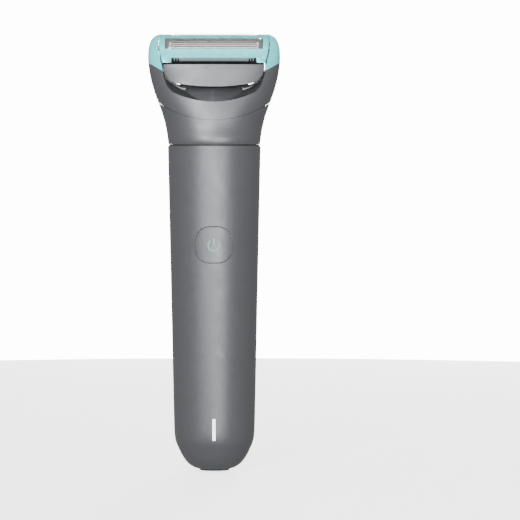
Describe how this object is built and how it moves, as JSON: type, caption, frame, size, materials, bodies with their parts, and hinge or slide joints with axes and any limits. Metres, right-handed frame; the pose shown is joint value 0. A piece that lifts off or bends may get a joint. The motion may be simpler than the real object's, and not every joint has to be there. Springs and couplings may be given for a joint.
{
  "type": "body groomer",
  "caption": "Cordless body groomer: oval handle with power button, click-off neck and pivoting foil head with a toothed trimmer on each side.",
  "frame": {"origin": "mouth of the charging socket, in the middle of the rounded base", "axes": "+Z along the handle towards the shaving head, -Y is the front with the power button, X across, with the left-right symmetry plane at X = 0"},
  "size_m": [0.0544, 0.0322, 0.1799],
  "materials": {
    "body_grey": "satin",
    "grip_rubber": "soft matte",
    "mint": "satin gloss",
    "black_plastic": "matte",
    "steel": "brushed",
    "foil_steel": "bright",
    "seal_rubber": "matte",
    "contact_brass": "plated",
    "light_lens": "clear",
    "board_green": "solder mask",
    "cell_wrap": "shrink wrap",
    "white_plastic": "moulded"
  },
  "bodies": {
    "handle": {"front_shell": "body_grey", "rear_shell": "body_grey", "rear_grip": "grip_rubber", "charging_socket": "black_plastic", "charge_pins": "contact_brass", "socket_gasket": "seal_rubber", "circuit_board": "board_green", "light_guide": "light_lens", "button_switch": "black_plastic", "button_gasket": "seal_rubber", "battery": "cell_wrap", "battery_tabs": "contact_brass", "chassis": "white_plastic", "board_screws": "steel", "motor_can": "steel", "motor_end_cap": "white_plastic", "motor_contacts": "contact_brass", "motor_mount": "black_plastic", "drive_deck": "black_plastic", "deck_screws": "steel", "latch_clips": "steel", "shaft_seal": "seal_rubber", "seam_gasket": "seal_rubber"},
    "button": {"power_button": "body_grey"},
    "crank": {"motor_shaft": "steel", "crank": "white_plastic"},
    "neck": {"neck_collar": "body_grey", "fork_housing": "body_grey", "ear_cap_left": "mint", "ear_cap_right": "mint", "pivot_pins": "steel", "rocker_pin": "steel", "centering_springs": "steel"},
    "rocker": {"rocker_lever": "white_plastic"},
    "head": {"pivot_carrier": "black_plastic", "front_shroud": "body_grey", "rear_shroud": "body_grey"},
    "cutter": {"cutter_bridge": "white_plastic", "foil_cutter": "steel", "cutter_springs": "steel"},
    "cassette": {"cassette_frame": "mint", "cassette_base": "black_plastic", "foil": "foil_steel", "front_trimmer_comb": "steel", "rear_trimmer_comb": "steel"},
    "front_blade": {"front_trimmer_blade": "steel"},
    "rear_blade": {"rear_trimmer_blade": "steel"}
  },
  "joints": [
    {"name": "button_press", "type": "slide", "parent": "handle", "child": "button", "axis": [0, 1, 0], "range_m": [0, 0.0005], "stiffness_N_per_m": 1500, "springref_m": -0.0001},
    {"name": "crank_spin", "type": "hinge", "parent": "handle", "child": "crank", "pos_m": [0, 0, 0.13], "axis": [0, 0, 1], "continuous": true},
    {"name": "neck_pull", "type": "slide", "parent": "handle", "child": "neck", "axis": [0, 0, 1], "range_m": [0, 0.025]},
    {"name": "rocker_swing", "type": "hinge", "parent": "neck", "child": "rocker", "pos_m": [0, 0, 0.153], "axis": [0, 1, 0], "range_deg": [-3.5, 3.5]},
    {"name": "head_pivot", "type": "hinge", "parent": "neck", "child": "head", "pos_m": [0, -0.00366, 0.1736], "axis": [1, 0, 0], "range_deg": [-10, 6], "stiffness_Nm_per_rad": 0.15},
    {"name": "cutter_stroke", "type": "slide", "parent": "head", "child": "cutter", "axis": [1, 0, 0], "range_m": [-0.0012, 0.0012]},
    {"name": "cassette_lift", "type": "slide", "parent": "head", "child": "cassette", "axis": [0, -0.6691, 0.7431], "range_m": [0, 0.018]},
    {"name": "front_blade_stroke", "type": "slide", "parent": "cassette", "child": "front_blade", "axis": [1, 0, 0], "range_m": [-0.0012, 0.0012]},
    {"name": "rear_blade_stroke", "type": "slide", "parent": "cassette", "child": "rear_blade", "axis": [1, 0, 0], "range_m": [-0.0012, 0.0012]}
  ],
  "couplings": [
    {"joint": "rocker_swing", "follows": "cutter_stroke", "rad_per_m": 48.54},
    {"joint": "front_blade_stroke", "follows": "cutter_stroke", "ratio": 1},
    {"joint": "rear_blade_stroke", "follows": "cutter_stroke", "ratio": 1}
  ]
}
